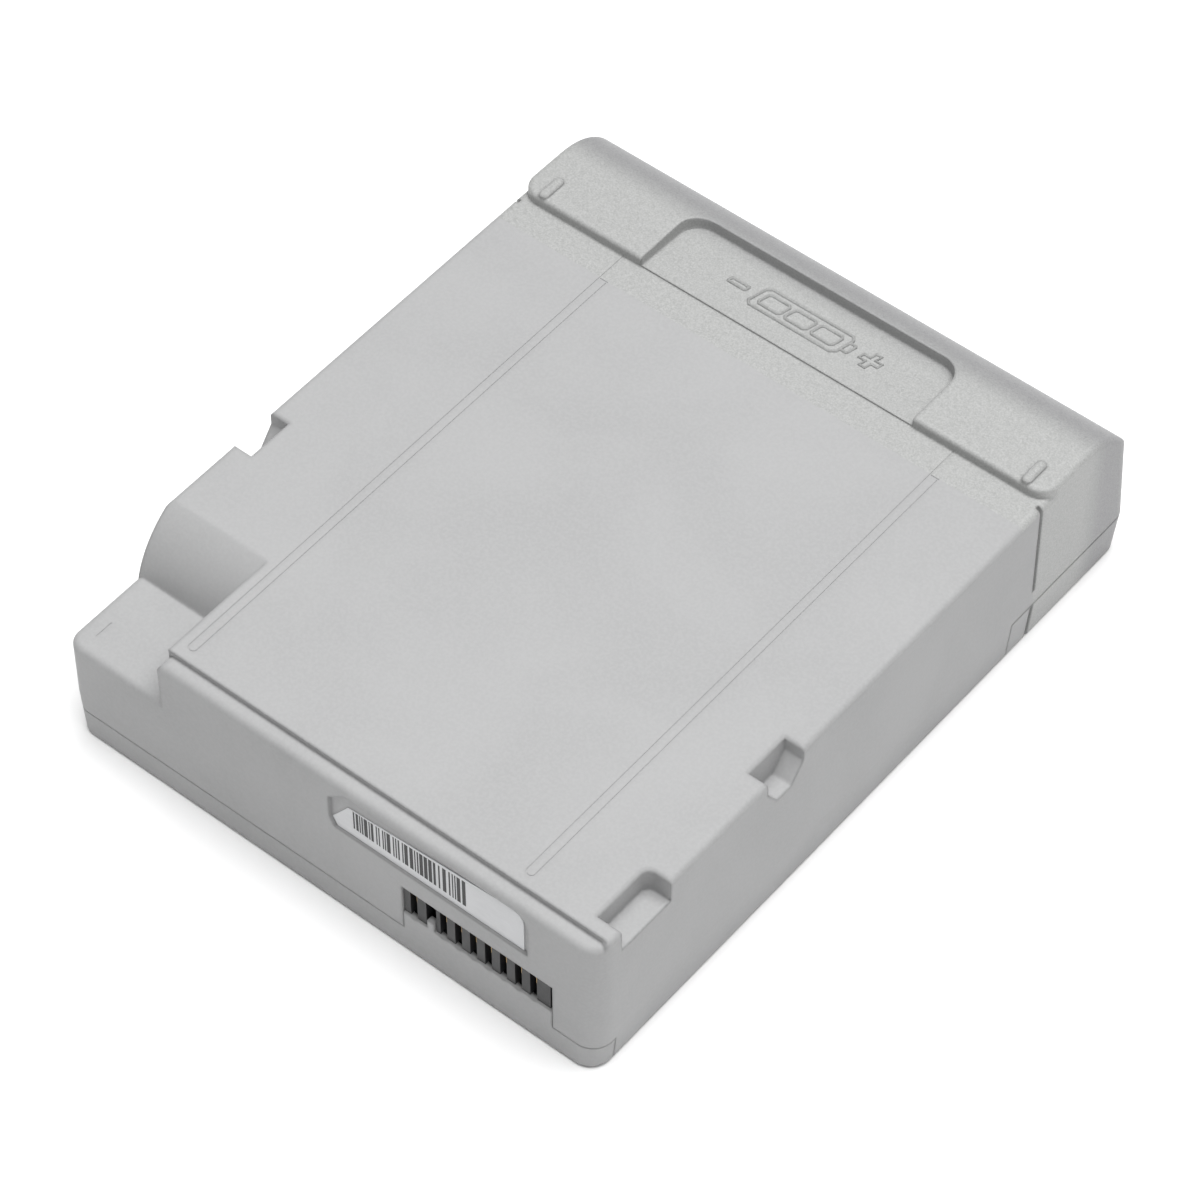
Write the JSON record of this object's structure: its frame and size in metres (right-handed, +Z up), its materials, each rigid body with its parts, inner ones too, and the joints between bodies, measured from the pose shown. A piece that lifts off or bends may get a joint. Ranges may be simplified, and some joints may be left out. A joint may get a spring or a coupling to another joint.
{
  "type": "laptop battery",
  "caption": "Flat box-shaped laptop battery pack with a cut-away corner, slotted blade connector, latch notches and a raised painted end with a finger recess.",
  "frame": {"origin": "middle of the base of the bounding box, on the surface that the pack lies on", "axes": "+X to the right seen from the connector face, +Y from the connector face towards the painted end, +Z up"},
  "size_m": [0.073, 0.0926, 0.0238],
  "materials": {
    "case_grey": "fine moulded texture, painted silver at one end",
    "label_paper": "matt",
    "connector_black": "satin",
    "contact_gold": "plated",
    "board_green": "solder mask",
    "chip_black": "matt",
    "fuse_white": "matt",
    "capacitor_tan": "matt",
    "card_white": "matt",
    "nickel": "rolled",
    "paper_tan": "matt",
    "tape_white": "matt",
    "foam_black": "matt",
    "cell_sleeve": "shrunk film"
  },
  "bodies": {
    "root": {"upper_case": "case_grey", "lower_case": "case_grey", "bar_label": "label_paper", "connector_body": "connector_black", "contacts": "contact_gold", "circuit_board": "board_green", "gauge_chip": "chip_black", "protection_chip": "chip_black", "charge_transistor": "chip_black", "discharge_transistor": "chip_black", "chip_fuse": "fuse_white", "sense_resistor": "chip_black", "capacitors": "capacitor_tan", "thermistor": "chip_black", "cap_cards": "card_white", "mid_strip": "nickel", "negative_strip": "nickel", "positive_strip": "nickel", "thermal_fuse": "fuse_white", "positive_lead": "nickel", "left_insulator": "paper_tan", "right_insulator": "paper_tan", "cell_tapes": "tape_white", "end_foam": "foam_black", "cell_1": "cell_sleeve", "cell_2": "cell_sleeve", "cell_3": "cell_sleeve", "cell_4": "cell_sleeve"}
  },
  "joints": []
}
